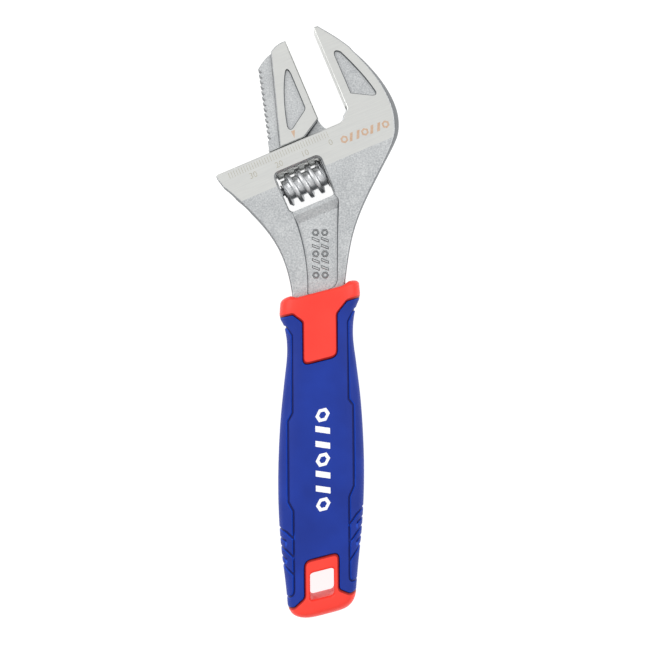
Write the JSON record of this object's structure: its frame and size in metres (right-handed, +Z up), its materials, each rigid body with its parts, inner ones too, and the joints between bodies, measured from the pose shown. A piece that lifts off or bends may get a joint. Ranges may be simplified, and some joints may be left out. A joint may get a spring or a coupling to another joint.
{
  "type": "adjustable wrench",
  "caption": "Adjustable wrench with a wide offset head, a worm-driven sliding jaw with pipe teeth on its back, and a two-material moulded grip with a hang hole",
  "frame": {"origin": "centre of the bounding box's underside, with the wrench lying flat on its grip and its marked face up", "axes": "+Y along the handle to the head, +X towards the fixed jaw's side, +Z up out of the marked face"},
  "size_m": [0.0658, 0.212, 0.019],
  "materials": {
    "forged_steel": "forged alloy steel, satin chrome plated, faces ground and the rest bead blasted",
    "jaw_steel": "forged alloy steel, satin chrome plated",
    "worm_steel": "turned steel, satin plated",
    "pin_steel": "turned steel, bright",
    "spring_steel": "drawn spring wire",
    "hard_grip_plastic": "moulded polypropylene, fine texture",
    "soft_grip_rubber": "moulded thermoplastic rubber, fine texture"
  },
  "bodies": {
    "frame": {"wrench_body": "forged_steel", "worm_pin": "pin_steel", "worm_spring": "spring_steel", "grip_core": "hard_grip_plastic", "grip_sleeve": "soft_grip_rubber"},
    "jaw": {"movable_jaw": "jaw_steel"},
    "worm": {"adjusting_worm": "worm_steel"}
  },
  "joints": [
    {"name": "worm_spin", "type": "hinge", "parent": "frame", "child": "worm", "pos_m": [-0.00118, 0.05032, 0.0095], "axis": [0.9239, 0.3827, 0], "range_deg": [-985.5, 2430]},
    {"name": "jaw_slide", "type": "slide", "parent": "frame", "child": "jaw", "axis": [-0.9239, -0.3827, 0], "range_m": [-0.01095, 0.027]}
  ],
  "couplings": [
    {"joint": "worm_spin", "follows": "jaw_slide", "rad_per_m": 1570.8}
  ]
}
